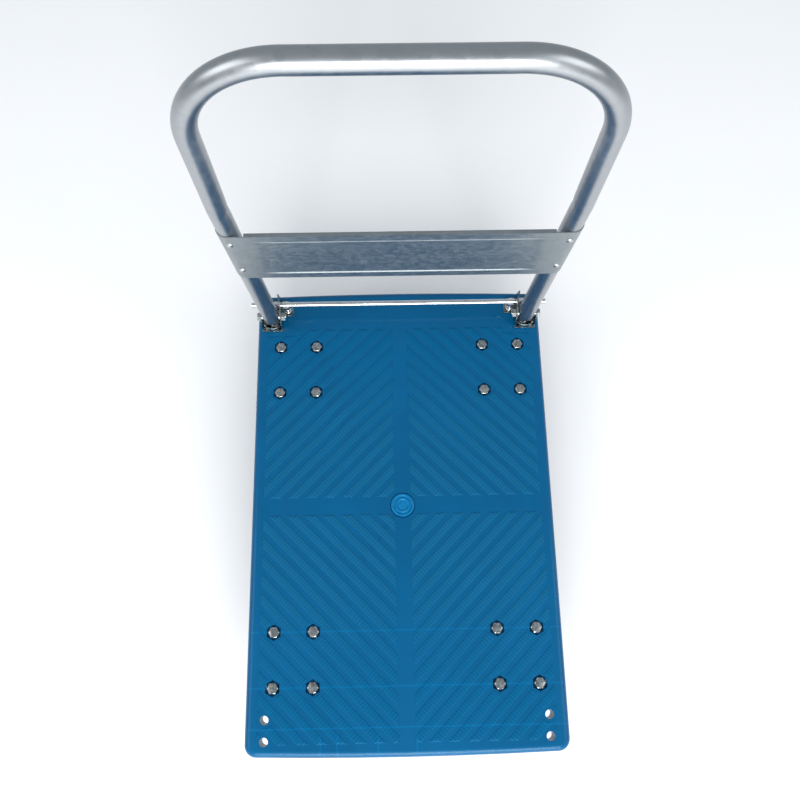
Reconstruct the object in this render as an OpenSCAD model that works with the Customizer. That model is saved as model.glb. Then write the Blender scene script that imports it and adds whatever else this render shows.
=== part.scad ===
// Folding platform cart: a moulded deck on four casters, with a tube handle that folds down onto it.
// Millimetres. X is the width (right positive), Y the length (handle end positive), Z is up.
// The origin is on the floor, under the middle of the deck.

/* [Deck] */
// Length of the deck, over the bowed ends
deck_l = 740; // [620:10:900]
// Width of the deck
deck_w = 480; // [440:10:620]
// Height of the top of the deck above its skirt's lower edge
deck_h = 36; // [30:1:50]
// Thickness of the deck's top wall
deck_wall = 5; // [4:0.5:7]
// Thickness of the deck's skirt
skirt_wall = 4; // [3:0.5:6]
// Plan radius of the deck's corners
deck_corner_r = 18; // [16:1:45]
// Radius of the deck's upper edge
deck_edge_r = 10; // [6:1:14]
// How far the middle of each end stands out beyond the corners
deck_bow = 3.5; // [1:0.5:8]
// Thickness of the ribs under the deck
rib_t = 3; // [2:0.5:5]
// How far the skirt hangs below the ribs and bosses
skirt_drop = 4; // [2:0.5:8]

/* [Deck fittings] */
// Spacing of each caster's bolts across the cart
bolt_sx = 60; // [50:1:70]
// Spacing of each caster's bolts along the cart
bolt_sy = 80; // [70:1:90]
// Distance of each caster's centre in from the deck's side
caster_in_x = 70; // [60:1:90]
// Distance of each caster's centre in from the deck's end
caster_in_y = 139; // [130:1:170]
// Shank diameter of the caster bolts
bolt_d = 10; // [8:1:10]
// Width across the flats of the caster bolts' heads and nuts
bolt_af = 15; // [15:1:18]
// Height of a caster bolt's head
bolt_head_h = 6.4; // [4:0.2:8]
// Length of a caster bolt's shank
bolt_l = 41; // [40:1:50]
// Width across the flats of the moulded pockets for the bolt heads
pocket_af = 21; // [20:0.5:24]
// Diameter of the round plug in the middle of the deck
plug_d = 37; // [30:1:50]
// Distance of the bracket holes at each corner in from the deck's side
corner_in_x = 29; // [26:1:36]
// Distance of the inner bracket holes in from the deck's end
corner_in_y = 55; // [50:1:60]
// Spacing of the two bracket holes at each corner, along the cart
corner_pitch = 30; // [26:1:36]
// Diameter of the bracket holes at the rear corners
corner_hole_d = 9; // [8.5:0.5:11]
// Diameter of the free holes at the front corners
front_hole_d = 13; // [8.5:0.5:15]

/* [Handle] */
// Outside diameter of the handle tube
tube_d = 28; // [25:0.5:32]
// Wall of the handle tube
tube_wall = 1.5; // [1.2:0.1:2.5]
// Distance of the two hinges in from the deck's sides
foot_in_x = 26; // [22:1:34]
// Distance of the legs above the kink in from the deck's sides
leg_in_x = 10; // [4:1:20]
// Distance of the handle in from the deck's end
handle_in_y = 53; // [50:1:60]
// Height of the hinge axis above the deck
pivot_h = 26; // [25:0.5:32]
// Height of the kink in the legs above the deck
kink_h = 370; // [345:5:450]
// Height of the top bar's axis above the deck
top_h = 632; // [560:5:700]
// Bend radius of the two top corners, on the tube's axis
corner_bend_r = 115; // [80:5:140]
// Bend radius of the kink, on the tube's axis
kink_bend_r = 150; // [100:10:300]

/* [Handle panel] */
// Height of the panel's lower edge above the deck
panel_low = 204; // [150:2:220]
// Height of the panel's upper edge above the deck
panel_high = 324; // [300:1:340]
// Thickness of the panel's sheet
panel_t = 1.2; // [0.8:0.1:2]
// Depth of the flange folded back from the panel's upper edge
flange_d = 5; // [3:0.5:12]
// Height of the pressed bead above the panel's face
bead_h = 1.2; // [0.8:0.1:2]
// Width of the pressed bead
bead_w = 4; // [3:0.5:6]
// Inset of the bead from the panel's edges
bead_inset = 14; // [10:1:30]
// Shank diameter of the panel's rivets
rivet_d = 5; // [4:0.5:6]

/* [Hinge brackets] */
// Gap between the tube's foot and each ear of a bracket
ear_side = 0.95; // [0.7:0.05:3]
// Thickness of the bracket's sheet
ear_t = 2; // [1.5:0.25:3]
// Thickness of the bracket's base
base_t = 3; // [2:0.5:4]
// How far the base reaches forward of the hinge axis
base_front = 18; // [18:1:30]
// How far the base reaches behind the hinge axis
base_rear = 38; // [36:1:46]
// Height of the ears' peaks above the deck
ear_peak = 70; // [56:1:80]
// Height of the curved cradle in front of the tube's foot, above the deck
cradle_h = 11; // [6:0.5:11]
// Diameter of the hinge bolts
hinge_d = 8; // [6:1:8]
// Width across the flats of the hinge bolts, bracket nuts and hinge nuts
hinge_af = 13; // [12:1:15]
// Diameter of the bracket bolts
bracket_bolt_d = 8; // [6:1:8]

/* [Lock rod] */
// Diameter of the lock rod
rod_d = 8.5; // [7:0.5:9]
// Height of the lock rod above the deck
rod_h = 30; // [28:0.5:34]
// How far the lock rod is pushed down
rod_travel = 8; // [4:0.5:8]
// How far the rod's ends stand out beyond the brackets
rod_end = 15; // [8:1:20]
// Outside diameter of the lock springs
spring_d = 13; // [11:0.5:14]
// Wire diameter of the lock springs
spring_wire = 2; // [1.5:0.1:2.5]
// Number of turns of the lock springs
spring_turns = 5; // [4:1:6]

/* [Casters] */
// Height from the floor to the caster plates' upper faces
caster_h = 128; // [120:1:150]
// Diameter of the wheels
wheel_d = 100; // [80:1:100]
// Width of the tyres
tyre_w = 32; // [25:1:34]
// Thickness of the rubber tyres
tyre_t = 12; // [6:1:14]
// Thickness of the caster plates
plate_t = 3; // [2:0.5:4]
// Thickness of the caster forks
fork_t = 3; // [2:0.5:4]
// How far the swivel casters' wheels trail behind their swivel axes
trail = 35; // [25:1:40]
// Diameter of the kingpins
kingpin_d = 12; // [10:1:14]
// Diameter of the wheel axle bolts
axle_d = 10; // [8:1:12]
// Outside diameter of the sleeves that the wheels turn on
sleeve_d = 14; // [13:0.5:16]

/* [Clearances] */
// Radial clearance of the running fits
run_fit = 0.06; // [0.03:0.01:0.1]
// Radial clearance of bolts in their holes
bolt_fit = 0.3; // [0.1:0.1:0.6]
// Gap between moving pieces that pass each other
pass_gap = 0.4; // [0.3:0.1:1]

/* [Hidden] */
$fn = 48;

BLUE = [0.03, 0.33, 0.55];
ZINC = [0.72, 0.74, 0.72];
STEEL = [0.6, 0.63, 0.66];
RUBBER = [0.12, 0.12, 0.13];
GREY = [0.35, 0.36, 0.38];
NYLON = [0.86, 0.86, 0.82];
sides = [-1, 1];

// Heights
skirt_low = caster_h - skirt_drop;
deck_top = skirt_low + deck_h;
wall_low = deck_top - deck_wall;
pivot_z = deck_top + pivot_h;
rod_z = deck_top + rod_h;
base_top = deck_top + base_t;
axle_z = wheel_d / 2;

// Places in plan
caster_x = deck_w / 2 - caster_in_x;
caster_y = deck_l / 2 - caster_in_y;
corner_x = deck_w / 2 - corner_in_x;
corner_y = deck_l / 2 - corner_in_y;
foot_x = deck_w / 2 - foot_in_x;
leg_x = deck_w / 2 - leg_in_x;
handle_y = deck_l / 2 - handle_in_y;

// Deck
corner_cx = deck_w / 2 - deck_corner_r;
cavity_x = deck_w / 2 - skirt_wall;
cavity_y = deck_l / 2 - deck_bow - skirt_wall;
cavity_cut = deck_corner_r * 0.75;
boss_d = pocket_af + 7;
corner_boss_d = 24;
rib_x = [0, 70, caster_x - bolt_sx / 2, caster_x + bolt_sx / 2];
rib_y = [0, caster_y * 0.275, caster_y * 0.55, caster_y - bolt_sy / 2, caster_y + bolt_sy / 2, corner_y];
plug_recess = 2;
plug_rise = 0.8;
plug_groove = 1.5;
plug_neck_d = plug_d - 8;
washer_t = 2;
nut_h = 8;
small_washer_t = 1.6;
small_nut_h = 6.5;
small_head_h = 5.3;
cup_head_d = 18;
cup_head_h = 3.2;
bracket_bolt_l = 45;
corner_ys = [corner_y, corner_y + corner_pitch];

// Handle
tube_r = tube_d / 2;
foot_r = tube_r + 0.3;
lean = atan((leg_x - foot_x) / (kink_h - pivot_h));
kink_z = deck_top + kink_h;
top_z = deck_top + top_h;
kink_tangent = kink_bend_r * tan(lean / 2);
bush_d = 12;
rivet_heights = [panel_low + 26, panel_high - 21];
rivet_head_d = 9;
rivet_head_h = 2;
wrap_out_r = tube_r + panel_t;
wrap_lap = 1.5;

// Brackets and lock rod
ear_gap = 2 * (foot_r + ear_side);
ear_out = ear_gap / 2 + ear_t;
cradle_r = ear_gap / 2 + 0.25;
rod_r = rod_d / 2;
rod_y = foot_r + rod_r + pass_gap;
slot_r = rod_r + pass_gap;
spring_x = ear_out + 8;
spring_seat_r = 7;
seat_low = rod_h - rod_r - 2.75;
clip_r = 8;
clip_t = 1.5;
spring_tab = 9;
rod_half = foot_x + ear_out + rod_end;

// Casters
plate_w = bolt_sx + 25;
plate_l = bolt_sy + 25;
plate_cut = 10;
plate_low = caster_h - plate_t;
crown_top = plate_low - 6.4;
crown_low = crown_top - fork_t;
crown_r = 30;
ring_r = 33;
ring_t = 2.5;
fork_gap = tyre_w + 6;
fork_out = fork_gap / 2 + fork_t;
axle_boss_r = 13;
hub_r = sleeve_d / 2 + 7;
hub_w = fork_gap - 4 * pass_gap;
core_r = wheel_d / 2 - tyre_t;
bush_r = sleeve_d / 2 + 3;
ball_r = 2.8;
kingpin_nut_h = 8;
rear = caster_y + trail;

function leg_at(h) = foot_x + (h - pivot_h) * tan(lean);

// A hexagon with two of its points along Y.
module hex(af, h) { rotate([0, 0, 30]) cylinder(d = af / cos(30), h = h, $fn = 6); }

// A washer standing on z = 0.
module washer(hole_d, outer_d, t) {
    difference() {
        cylinder(d = outer_d, h = t);
        translate([0, 0, -1]) cylinder(d = hole_d, h = t + 2);
    }
}

// A hexagon nut standing on z = 0.
module nut(thread_d, af, h) {
    difference() {
        hex(af, h);
        translate([0, 0, -1]) cylinder(d = thread_d + 0.2, h = h + 2);
    }
}

// Places its children along X, turned so that their +Z runs along +X.
module along_x() { rotate([0, 90, 0]) children(); }

// Extrudes an outline drawn in Y and Z along +X.
module side_plate(t) { rotate([90, 0, 90]) linear_extrude(t) children(); }

// A rectangle with cut corners.
module cut_rect(hx, hy, cut) {
    polygon([
        [hx - cut, -hy], [hx, cut - hy], [hx, hy - cut], [hx - cut, hy],
        [cut - hx, hy], [-hx, hy - cut], [-hx, cut - hy], [cut - hx, -hy]
    ]);
}

module at_casters() { for (sx = sides, sy = sides) translate([sx * caster_x, sy * caster_y, 0]) children(); }

module at_bolts() {
    at_casters() for (sx = sides, sy = sides) translate([sx * bolt_sx / 2, sy * bolt_sy / 2, 0]) children();
}

module at_corner_holes(ends) {
    for (sx = sides, sy = ends, y = corner_ys) translate([sx * corner_x, sy * y, 0]) children();
}

// ---- Deck ----

// One round post of the deck's outline, with its upper edge rounded.
module deck_post() {
    steps = 6;
    arc = [for (i = [0:steps])
        [deck_corner_r - deck_edge_r * (1 - cos(90 * i / steps)), deck_h - deck_edge_r * (1 - sin(90 * i / steps))]];
    rotate_extrude($fn = 40) polygon(concat([[0, 0], [deck_corner_r, 0]], arc, [[0, deck_h]]));
}

module deck_block() {
    hull() for (i = [-3:3], sy = sides)
        translate([i / 3 * corner_cx, sy * (deck_l / 2 - deck_corner_r - deck_bow * pow(i / 3, 2)), skirt_low])
            deck_post();
}

module deck_ribs() {
    rib_h = wall_low - caster_h + 1;
    intersection() {
        translate([0, 0, caster_h]) linear_extrude(rib_h) cut_rect(cavity_x + 1, cavity_y + 1, cavity_cut);
        union() {
            for (x = rib_x, s = x > 0 ? sides : [1])
                translate([s * x - rib_t / 2, -deck_l / 2, caster_h]) cube([rib_t, deck_l, rib_h]);
            for (y = rib_y, s = y > 0 ? sides : [1])
                translate([-deck_w / 2, s * y - rib_t / 2, caster_h]) cube([deck_w, rib_t, rib_h]);
        }
    }
}

module deck() {
    boss_h = wall_low - caster_h + 1;
    color(BLUE) difference() {
        union() {
            difference() {
                deck_block();
                translate([0, 0, skirt_low - 1]) linear_extrude(wall_low - skirt_low + 1)
                    cut_rect(cavity_x, cavity_y, cavity_cut);
            }
            deck_ribs();
            at_bolts() translate([0, 0, caster_h]) cylinder(d = boss_d, h = boss_h);
            at_corner_holes(sides) translate([0, 0, caster_h]) cylinder(d = corner_boss_d, h = boss_h);
            translate([0, 0, caster_h]) cylinder(d = plug_d + 7, h = boss_h);
        }
        at_bolts() {
            translate([0, 0, skirt_low]) cylinder(d = bolt_d + 2 * bolt_fit, h = deck_h);
            translate([0, 0, wall_low]) hex(pocket_af, deck_wall + 1);
        }
        at_corner_holes([1]) translate([0, 0, skirt_low]) cylinder(d = corner_hole_d, h = deck_h + 1);
        at_corner_holes([-1]) translate([0, 0, skirt_low]) cylinder(d = front_hole_d, h = deck_h + 1);
        translate([0, 0, deck_top - plug_recess]) cylinder(d = plug_d + 2 * plug_groove, h = plug_recess + 1);
        translate([0, 0, skirt_low]) cylinder(d = plug_neck_d + 2 * bolt_fit, h = deck_h);
    }
}

module deck_plug() {
    plug_low = deck_top - plug_recess;
    color([0.2, 0.48, 0.68]) difference() {
        union() {
            translate([0, 0, plug_low]) cylinder(d = plug_d, h = plug_recess + plug_rise);
            translate([0, 0, caster_h + 6]) cylinder(d = plug_neck_d, h = plug_low - caster_h - 6);
        }
        translate([0, 0, plug_low + 1.5]) washer(plug_d - 18, plug_d - 8, 3);
        translate([0, 0, caster_h]) cylinder(d = plug_neck_d - 6, h = plug_low - caster_h - 2);
    }
}

module caster_bolts() {
    color(ZINC) at_bolts() translate([0, 0, wall_low]) {
        hex(bolt_af, bolt_head_h);
        translate([0, 0, -bolt_l]) cylinder(d = bolt_d, h = bolt_l);
    }
}

module caster_washers() {
    color(ZINC) at_bolts() translate([0, 0, plate_low - washer_t]) washer(bolt_d + 2 * bolt_fit, bolt_d * 2, washer_t);
}

module caster_nuts() {
    color(ZINC) at_bolts() translate([0, 0, plate_low - washer_t - nut_h]) nut(bolt_d, bolt_af, nut_h);
}

// ---- Hinge brackets ----

// One ear in Y and Z from the hinge axis's foot on the deck, with its slot for the lock rod.
module ear_outline() {
    difference() {
        polygon([
            [-14, 0], [-14, cradle_h], [-10, pivot_h], [-7, pivot_h + 8], [0, pivot_h + 12],
            [rod_y - slot_r - 5, pivot_h + 16], [rod_y - 3, ear_peak - 16], [rod_y + 1, ear_peak],
            [rod_y + 5, ear_peak - 14], [rod_y + slot_r + 6, rod_h], [rod_y + slot_r + 8, 0]
        ]);
        translate([rod_y, rod_h]) circle(slot_r);
        translate([rod_y, rod_h - rod_travel]) circle(slot_r);
        translate([rod_y - slot_r, rod_h - rod_travel]) square([2 * slot_r, rod_travel]);
        translate([0, pivot_h]) circle(hinge_d / 2 + bolt_fit / 2);
    }
}

module hinge_bracket(side) {
    color([0.66, 0.7, 0.6]) mirror([side < 0 ? 1 : 0, 0, 0]) translate([foot_x, handle_y, deck_top]) {
        difference() {
            union() {
                translate([-ear_out, -base_front, 0]) cube([2 * ear_out, base_front + base_rear, base_t]);
                translate([-spring_x - spring_tab, rod_y - spring_tab, 0])
                    cube([spring_tab + spring_x, 2 * spring_tab, base_t]);
            }
            for (y = corner_ys) translate([corner_x - foot_x, y - handle_y, -1])
                cylinder(d = corner_hole_d, h = base_t + 2);
            translate([-ear_out + 5, -base_front + 5, -1]) cylinder(d = 5, h = base_t + 2);
        }
        translate([-spring_x, rod_y, 1]) cylinder(r = spring_d / 2 - spring_wire - 0.8, h = base_t + 4);
        translate([0, 0, 1]) rotate([0, 0, 180]) rotate_extrude(angle = 180) translate([cradle_r, 0])
            square([ear_t, cradle_h - 1]);
        for (s = sides) translate([s * (ear_gap + ear_t) / 2 - ear_t / 2, 0, 0]) side_plate(ear_t) ear_outline();
    }
}

module bracket_bolts() {
    color(ZINC) at_corner_holes([1]) translate([0, 0, base_top]) {
        cylinder(d = cup_head_d, h = 1.2);
        translate([0, 0, 1.2]) cylinder(d1 = cup_head_d, d2 = cup_head_d - 7, h = cup_head_h - 1.2);
        translate([0, 0, -bracket_bolt_l]) cylinder(d = bracket_bolt_d, h = bracket_bolt_l);
    }
}

module bracket_washers() {
    color(ZINC) at_corner_holes([1]) translate([0, 0, caster_h - small_washer_t])
        washer(bracket_bolt_d + 2 * bolt_fit, bracket_bolt_d * 2, small_washer_t);
}

module bracket_nuts() {
    color(ZINC) at_corner_holes([1]) translate([0, 0, caster_h - small_washer_t - small_nut_h])
        nut(bracket_bolt_d, hinge_af, small_nut_h);
}

module hinge_bolts() {
    color(ZINC) for (s = sides) mirror([s < 0 ? 1 : 0, 0, 0]) translate([foot_x, handle_y, pivot_z]) along_x() {
        translate([0, 0, ear_out]) hex(hinge_af, small_head_h);
        translate([0, 0, -ear_out - small_nut_h - 1.5]) cylinder(d = hinge_d, h = 2 * ear_out + small_nut_h + 1.5);
    }
}

module hinge_nuts() {
    color(ZINC) for (s = sides) mirror([s < 0 ? 1 : 0, 0, 0]) translate([foot_x, handle_y, pivot_z]) along_x()
        translate([0, 0, -ear_out - small_nut_h]) nut(hinge_d, hinge_af, small_nut_h);
}

// ---- Lock rod ----

module at_rod() { translate([0, handle_y + rod_y, rod_z]) children(); }

module lock_rod() { color(ZINC) at_rod() along_x() cylinder(r = rod_r, h = 2 * rod_half, center = true); }

// Saddles welded under the rod, which the springs push on.
module lock_rod_seats() {
    color(ZINC) difference() {
        for (s = sides) translate([s * (foot_x - spring_x), handle_y + rod_y, deck_top + seat_low])
            cylinder(r = spring_seat_r, h = rod_h - seat_low - 1);
        at_rod() along_x() cylinder(r = rod_r, h = 2 * rod_half, center = true);
    }
}

module lock_rod_clips() {
    color(STEEL) for (s = sides) mirror([s < 0 ? 1 : 0, 0, 0]) at_rod()
        translate([foot_x + ear_out + pass_gap, 0, 0]) along_x() washer(rod_d, 2 * clip_r, clip_t);
}

// Skins rings of n points each, and closes both ends. Each ring runs anticlockwise seen from the next one.
module ring_skin(points, n) {
    last = len(points) / n - 1;
    walls = [for (i = [0:last - 1], k = [0:n - 1])
        [(i + 1) * n + k, (i + 1) * n + (k + 1) % n, i * n + (k + 1) % n, i * n + k]];
    caps = [[for (k = [0:n - 1]) k], [for (k = [n - 1:-1:0]) last * n + k]];
    polyhedron(points, concat(walls, caps));
}

// A coil of round wire from z = 0 to z = h.
module coil(mean_r, wire_r, turns, h) {
    per_turn = 20;
    n = 8;
    last = turns * per_turn;
    rise = (h - 2 * wire_r) / last;
    ring_skin([for (i = [0:last], k = [0:n - 1])
        let (a = 360 * i / per_turn, r = mean_r + wire_r * cos(360 * k / n))
        [r * cos(a), r * sin(a), wire_r + rise * i - wire_r * sin(360 * k / n)]], n);
}

module lock_springs() {
    color(ZINC) for (s = sides) translate([s * (foot_x - spring_x), handle_y + rod_y, base_top])
        coil((spring_d - spring_wire) / 2, spring_wire / 2, spring_turns, seat_low - base_t);
}

// ---- Handle ----

// Points [x, z, angle] of a bend about (cx, cz), from a0 to a1 degrees in n steps.
function bend(cx, cz, r, a0, a1, n) =
    [for (i = [0:n]) let (a = a0 + (a1 - a0) * i / n) [cx + r * cos(a), cz + r * sin(a), a]];

// The right half of the handle's centre line, from below the hinge to the start of the top bar.
function half_line(extra) = concat(
    [[foot_x - extra * sin(lean), pivot_z - extra * cos(lean), -lean]],
    bend(leg_x - kink_bend_r, kink_z + kink_tangent, kink_bend_r, -lean, 0, 3),
    bend(leg_x - corner_bend_r, top_z - corner_bend_r, corner_bend_r, 0, 90, 12));

// The handle's bent bar of radius r, whose ends run a length of extra below the hinges.
module handle_bar(r, extra) {
    n = 24;
    right = half_line(extra);
    left = [for (i = [len(right) - 1:-1:0]) [-right[i][0], right[i][1], 180 - right[i][2]]];
    ring_skin([for (p = concat(right, left), k = [0:n - 1])
        let (out = r * cos(360 * k / n))
        [p[0] + out * cos(p[2]), r * sin(360 * k / n), p[1] + out * sin(p[2])]], n);
}

module handle_tube() {
    color(STEEL) translate([0, handle_y, 0]) difference() {
        handle_bar(tube_r, foot_r + 2);
        handle_bar(tube_r - tube_wall, foot_r + 4);
        for (s = sides) translate([s * foot_x, 0, pivot_z]) {
            difference() {
                translate([-tube_d, -tube_d, -2 * tube_d]) cube(2 * tube_d);
                along_x() cylinder(r = foot_r, h = 3 * tube_d, center = true);
            }
            along_x() cylinder(d = bush_d, h = 2 * tube_d, center = true);
        }
        for (s = sides, h = rivet_heights) translate([s * leg_at(h), 0, deck_top + h]) rotate([90, 0, 0])
            cylinder(d = rivet_d, h = tube_d);
    }
}

module pivot_bushes() {
    color(ZINC) for (s = sides) translate([s * foot_x, handle_y, pivot_z]) along_x() difference() {
        cylinder(d = bush_d, h = ear_gap - 2 * pass_gap, center = true);
        cylinder(d = hinge_d + 2 * run_fit, h = 2 * ear_gap, center = true);
    }
}

// One outline of the panel at a height above the deck: the sheet in front, and each end bent
// round the outer half of a leg, with its corners where the tube has its own.
function wrap_arc(r, x, side) = [for (i = [0:12]) let (a = 15 * i - 90) [side * (x + r * cos(a) / cos(lean)), r * sin(a)]];
function turned_back(v) = [for (i = [len(v) - 1:-1:0]) v[i]];
function panel_ring(h) = [for (p = concat(
    wrap_arc(wrap_out_r, leg_at(h), 1), turned_back(wrap_arc(tube_r, leg_at(h), 1)),
    wrap_arc(tube_r, leg_at(h), -1), turned_back(wrap_arc(wrap_out_r, leg_at(h), -1)))) [p.x, p.y, h]];

module panel_skin() {
    low = panel_ring(panel_low);
    n = len(low);
    polyhedron(concat(low, panel_ring(panel_high)), concat(
        [[for (i = [0:n - 1]) i]], [[for (i = [n - 1:-1:0]) n + i]],
        [for (i = [0:n - 1]) let (j = (i + 1) % n) [j, i, n + i, n + j]]));
}

module handle_panel() {
    x_low = leg_at(panel_low);
    flange_x = x_low - tube_r - panel_t - wrap_lap;
    color(STEEL) translate([0, handle_y, deck_top]) difference() {
        union() {
            panel_skin();
            translate([-flange_x, -tube_r - panel_t / 2, panel_high - panel_t])
                cube([2 * flange_x, flange_d + panel_t / 2, panel_t]);
            panel_bead(x_low - wrap_lap - tube_r - bead_inset, panel_low + bead_inset, panel_high - bead_inset);
        }
        for (s = sides, h = rivet_heights) translate([s * leg_at(h), 0, h]) rotate([90, 0, 0])
            cylinder(d = rivet_d, h = tube_d);
    }
}

// The rectangular bead pressed out of the panel's face.
module panel_bead(hx, low, high) {
    translate([0, -tube_r - panel_t / 2, 0]) rotate([90, 0, 0]) linear_extrude(bead_h + panel_t / 2) difference() {
        translate([-hx, low]) square([2 * hx, high - low]);
        translate([bead_w - hx, low + bead_w]) square([2 * (hx - bead_w), high - low - 2 * bead_w]);
    }
}

module panel_rivets() {
    color(ZINC) for (s = sides, h = rivet_heights)
        translate([s * leg_at(h), handle_y - wrap_out_r, deck_top + h]) rotate([90, 0, 0]) {
            cylinder(d1 = rivet_head_d, d2 = rivet_head_d - 4, h = rivet_head_h);
            translate([0, 0, -panel_t - tube_wall - 2]) cylinder(d = rivet_d, h = panel_t + tube_wall + 2);
        }
}

// ---- Casters ----

module caster_plate() {
    difference() {
        translate([0, 0, plate_low]) linear_extrude(plate_t) cut_rect(plate_w / 2, plate_l / 2, plate_cut);
        for (sx = sides, sy = sides) translate([sx * bolt_sx / 2, sy * bolt_sy / 2, plate_low - 1])
            cylinder(d = bolt_d + 2 * bolt_fit, h = plate_t + 2);
    }
}

module top_plate(side) {
    color(ZINC) translate([side * caster_x, caster_y, 0]) difference() {
        union() {
            caster_plate();
            translate([0, 0, crown_low - 2]) washer(2 * ring_r, 2 * (ring_r + ring_t), plate_low - crown_low + 3);
        }
        translate([0, 0, plate_low - 1]) cylinder(d = kingpin_d, h = plate_t + 2);
    }
}

module kingpins() {
    low = crown_low - pass_gap - kingpin_nut_h - 2;
    color(STEEL) for (s = sides) translate([s * caster_x, caster_y, 0]) {
        translate([0, 0, caster_h]) cylinder(d = kingpin_d + 9, h = 5);
        translate([0, 0, low]) cylinder(d = kingpin_d, h = caster_h - low);
    }
}

module kingpin_nuts() {
    color(ZINC) for (s = sides) translate([s * caster_x, caster_y, crown_low - pass_gap - kingpin_nut_h])
        difference() {
            hex(kingpin_d + 7, kingpin_nut_h);
            translate([0, 0, -1]) cylinder(d = kingpin_d, h = kingpin_nut_h + 2);
        }
}

// Both legs of a fork, from an outline drawn in Y and Z.
module fork_legs() {
    for (x = [-fork_out, fork_gap / 2]) translate([x, 0, 0]) side_plate(fork_t) children();
}

module fork_leg_outline(top_z, half_l, offset) {
    difference() {
        union() {
            polygon([
                [-half_l, top_z], [half_l + offset / 8, top_z],
                [offset + axle_boss_r, axle_z], [offset - axle_boss_r, axle_z]
            ]);
            translate([offset, axle_z]) circle(axle_boss_r);
        }
        translate([offset, axle_z]) circle(axle_d / 2 + bolt_fit);
    }
}

module swivel_fork(side) {
    color(ZINC) translate([side * caster_x, caster_y, 0]) {
        translate([0, 0, crown_low]) washer(kingpin_d + 2 * run_fit, 2 * crown_r, fork_t);
        fork_legs() fork_leg_outline(crown_low + fork_t / 2, crown_r - 14, trail);
    }
}

module fixed_fork(side) {
    color(ZINC) translate([side * caster_x, -caster_y, 0]) {
        caster_plate();
        fork_legs() fork_leg_outline(plate_low + plate_t / 2, 27, 0);
    }
}

// The swivel's balls in their cage, resting on the fork's crown.
module ball_race(side) {
    count = 12;
    mid_r = crown_r - 8;
    color(STEEL) translate([side * caster_x, caster_y, crown_top]) {
        washer(2 * mid_r - 7, 2 * mid_r + 7, 2);
        for (i = [0:count - 1]) rotate([0, 0, 360 * i / count]) translate([mid_r, 0, pass_gap + ball_r])
            sphere(r = ball_r, $fn = 32);
    }
}

module axle_bolt(side, y) {
    color(ZINC) mirror([side < 0 ? 1 : 0, 0, 0]) translate([caster_x, y, axle_z]) along_x() {
        translate([0, 0, fork_out]) hex(bolt_af, bolt_head_h);
        translate([0, 0, -fork_out - nut_h - 2]) cylinder(d = axle_d, h = 2 * fork_out + nut_h + 2);
    }
}

module axle_nut(side, y) {
    color(ZINC) mirror([side < 0 ? 1 : 0, 0, 0]) translate([caster_x, y, axle_z]) along_x()
        translate([0, 0, -fork_out - nut_h]) nut(axle_d, bolt_af, nut_h);
}

module axle_sleeve(side, y) {
    color(STEEL) translate([side * caster_x - fork_gap / 2, y, axle_z]) along_x()
        washer(axle_d + 0.2, sleeve_d, fork_gap);
}

// A solid of revolution about the wheel's axle, from a profile of radius and half-width.
module wheel_part(side, y) {
    translate([side * caster_x, y, axle_z]) along_x() rotate_extrude($fn = 96) children();
}

module tyre(side, y) {
    color(RUBBER) wheel_part(side, y) {
        h = tyre_w / 2;
        polygon([
            [core_r, -h + 1], [wheel_d / 2 - 4, -h], [wheel_d / 2, -h + 4],
            [wheel_d / 2, h - 4], [wheel_d / 2 - 4, h], [core_r, h - 1]
        ]);
    }
}

module wheel_core(side, y) {
    rim_t = 4;
    web_w = 6;
    rim_w = tyre_w - 2;
    color(GREY) wheel_part(side, y) union() {
        translate([core_r - rim_t, -rim_w / 2]) square([rim_t, rim_w]);
        translate([hub_r - 1, -web_w / 2]) square([core_r - rim_t - hub_r + 2, web_w]);
        translate([bush_r, -hub_w / 2]) square([hub_r - bush_r, hub_w]);
    }
}

module wheel_bush(side, y) {
    color(NYLON) wheel_part(side, y) translate([sleeve_d / 2 + run_fit, -hub_w / 2])
        square([bush_r - sleeve_d / 2 - run_fit, hub_w]);
}

deck();
deck_plug();
caster_bolts();
caster_washers();
caster_nuts();
hinge_bracket(-1);  // hinge_bracket_left
hinge_bracket(1);  // hinge_bracket_right
bracket_bolts();
bracket_washers();
bracket_nuts();
hinge_bolts();
hinge_nuts();
lock_rod();
lock_rod_seats();
lock_rod_clips();
lock_springs();
handle_tube();
pivot_bushes();
handle_panel();
panel_rivets();
top_plate(-1);  // top_plate_left
top_plate(1);  // top_plate_right
kingpins();
kingpin_nuts();
swivel_fork(-1);  // swivel_fork_left
swivel_fork(1);  // swivel_fork_right
ball_race(-1);  // ball_race_left
ball_race(1);  // ball_race_right
axle_bolt(-1, rear);  // rear_axle_bolt_left
axle_bolt(1, rear);  // rear_axle_bolt_right
axle_nut(-1, rear);  // rear_axle_nut_left
axle_nut(1, rear);  // rear_axle_nut_right
axle_sleeve(-1, rear);  // rear_axle_sleeve_left
axle_sleeve(1, rear);  // rear_axle_sleeve_right
tyre(-1, rear);  // rear_tyre_left
tyre(1, rear);  // rear_tyre_right
wheel_core(-1, rear);  // rear_wheel_core_left
wheel_core(1, rear);  // rear_wheel_core_right
wheel_bush(-1, rear);  // rear_wheel_bush_left
wheel_bush(1, rear);  // rear_wheel_bush_right
fixed_fork(-1);  // fixed_fork_left
fixed_fork(1);  // fixed_fork_right
for (s = sides) axle_bolt(s, -caster_y);  // front_axle_bolts
for (s = sides) axle_nut(s, -caster_y);  // front_axle_nuts
for (s = sides) axle_sleeve(s, -caster_y);  // front_axle_sleeves
tyre(-1, -caster_y);  // front_tyre_left
tyre(1, -caster_y);  // front_tyre_right
wheel_core(-1, -caster_y);  // front_wheel_core_left
wheel_core(1, -caster_y);  // front_wheel_core_right
wheel_bush(-1, -caster_y);  // front_wheel_bush_left
wheel_bush(1, -caster_y);  // front_wheel_bush_right
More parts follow.
